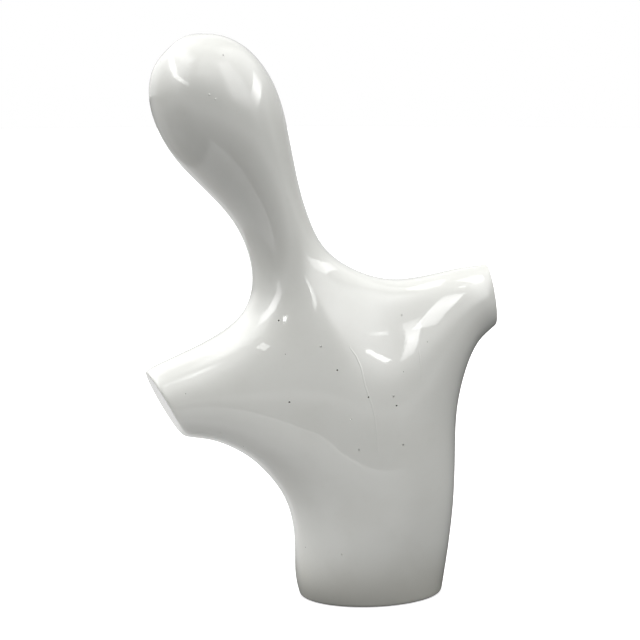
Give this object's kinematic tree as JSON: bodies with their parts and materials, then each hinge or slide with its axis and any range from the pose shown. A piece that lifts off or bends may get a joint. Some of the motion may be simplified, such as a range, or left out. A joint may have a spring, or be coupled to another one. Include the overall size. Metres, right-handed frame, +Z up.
{
  "type": "ceramic bust",
  "caption": "Abstract white-glazed ceramic bust with a blank egg-shaped head on a leaning neck, cut-off arm stumps and a tapering torso that stands on a flat oval foot.",
  "frame": {"origin": "centre of the foot's flat underside, on the ground", "axes": "+X along the shoulders towards the raised right-hand stump, -Y out of the front, +Z up. The head leans towards -X."},
  "size_m": [0.316, 0.1168, 0.5038],
  "materials": {
    "white_glaze": "glossy off-white glaze with a few dark pinholes and faint runs"
  },
  "bodies": {
    "root": {"ceramic_bust": "white_glaze"}
  },
  "joints": []
}
